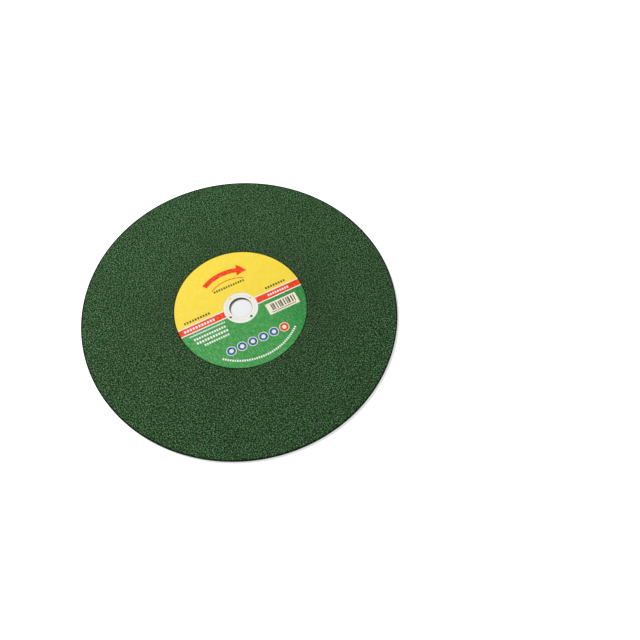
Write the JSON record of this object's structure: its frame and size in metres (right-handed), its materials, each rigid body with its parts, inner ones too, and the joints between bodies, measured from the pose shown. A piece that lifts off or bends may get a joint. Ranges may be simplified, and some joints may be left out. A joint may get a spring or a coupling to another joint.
{
  "type": "cut-off wheel",
  "caption": "Flat round abrasive wheel with a metal-lined central bore and a round paper label, for cutting metal on a chop saw.",
  "frame": {"origin": "centre of the bore, in the plane of the back face that the wheel lies on", "axes": "+Z along the bore axis and out through the labelled front face; X along the printed band of the label, +Y towards its yellow half"},
  "size_m": [0.355, 0.355, 0.0025],
  "materials": {
    "abrasive": "matte",
    "label_paper": "satin",
    "ring_metal": "satin"
  },
  "bodies": {
    "root": {"abrasive_disc": "abrasive", "paper_label": "label_paper", "bore_ring": "ring_metal"}
  },
  "joints": []
}
